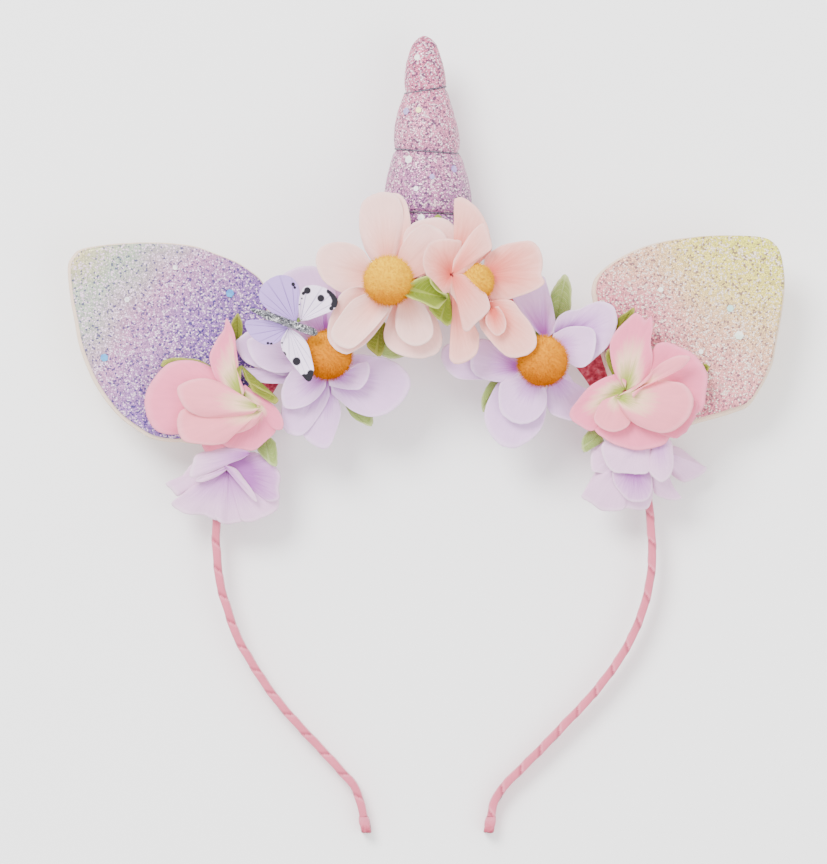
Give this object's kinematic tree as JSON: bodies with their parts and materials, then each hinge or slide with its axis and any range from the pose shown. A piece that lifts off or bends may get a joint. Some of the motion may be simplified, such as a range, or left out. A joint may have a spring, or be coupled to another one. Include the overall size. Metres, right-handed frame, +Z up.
{
  "type": "unicorn horn headband",
  "caption": "Ribbon-wrapped headband with a stuffed glitter unicorn horn, two glitter ears and a garland of cloth flowers with a butterfly, lying on its back.",
  "frame": {"origin": "middle of the bounding box in plan, on the surface that the headband lies on", "axes": "+Y from the band's open ends towards the horn's tip, +X across the band towards the peach ear, +Z up out of the surface, the way the flowers face"},
  "size_m": [0.1999, 0.2231, 0.0472],
  "materials": {
    "ribbon_pink": "satin ribbon",
    "ribbon_end": "folded satin ribbon",
    "backing_crimson": "woven cloth",
    "horn_glitter": "fine glitter cloth",
    "ear_lilac_glitter": "fine glitter cloth",
    "ear_peach_glitter": "fine glitter cloth",
    "ear_back_cream": "felt",
    "petal_blush": "matt cloth",
    "petal_lilac": "matt cloth",
    "petal_rose": "matt cloth",
    "petal_lavender": "matt cloth",
    "pompom_gold": "fuzzy yarn",
    "wing_white": "printed cloth",
    "silver_glitter": "glitter"
  },
  "bodies": {
    "root": {"backing_strip": "backing_crimson", "band": "ribbon_pink", "band_tip_left": "ribbon_end", "band_tip_right": "ribbon_end", "blush_daisy_left_back_petals": "petal_blush", "blush_daisy_left_front_petals": "petal_blush", "blush_daisy_right_back_petals": "petal_blush", "blush_daisy_right_front_petals": "petal_blush", "butterfly_body": "silver_glitter", "butterfly_wings": "wing_white", "ear_left_back": "ear_back_cream", "ear_left_front": "ear_lilac_glitter", "ear_right_back": "ear_back_cream", "ear_right_front": "ear_peach_glitter", "horn": "horn_glitter", "lavender_left_back_petals": "petal_lavender", "lavender_left_front_petals": "petal_lavender", "lavender_right_back_petals": "petal_lavender", "lavender_right_front_petals": "petal_lavender", "lilac_daisy_left_back_petals": "petal_lilac", "lilac_daisy_left_front_petals": "petal_lilac", "lilac_daisy_right_back_petals": "petal_lilac", "lilac_daisy_right_front_petals": "petal_lilac", "pompom_blush_left": "pompom_gold", "pompom_blush_right": "pompom_gold", "pompom_lilac_left": "pompom_gold", "pompom_lilac_right": "pompom_gold", "rose_left_back_petals": "petal_rose", "rose_left_front_petals": "petal_rose", "rose_right_back_petals": "petal_rose", "rose_right_front_petals": "petal_rose"}
  },
  "joints": []
}
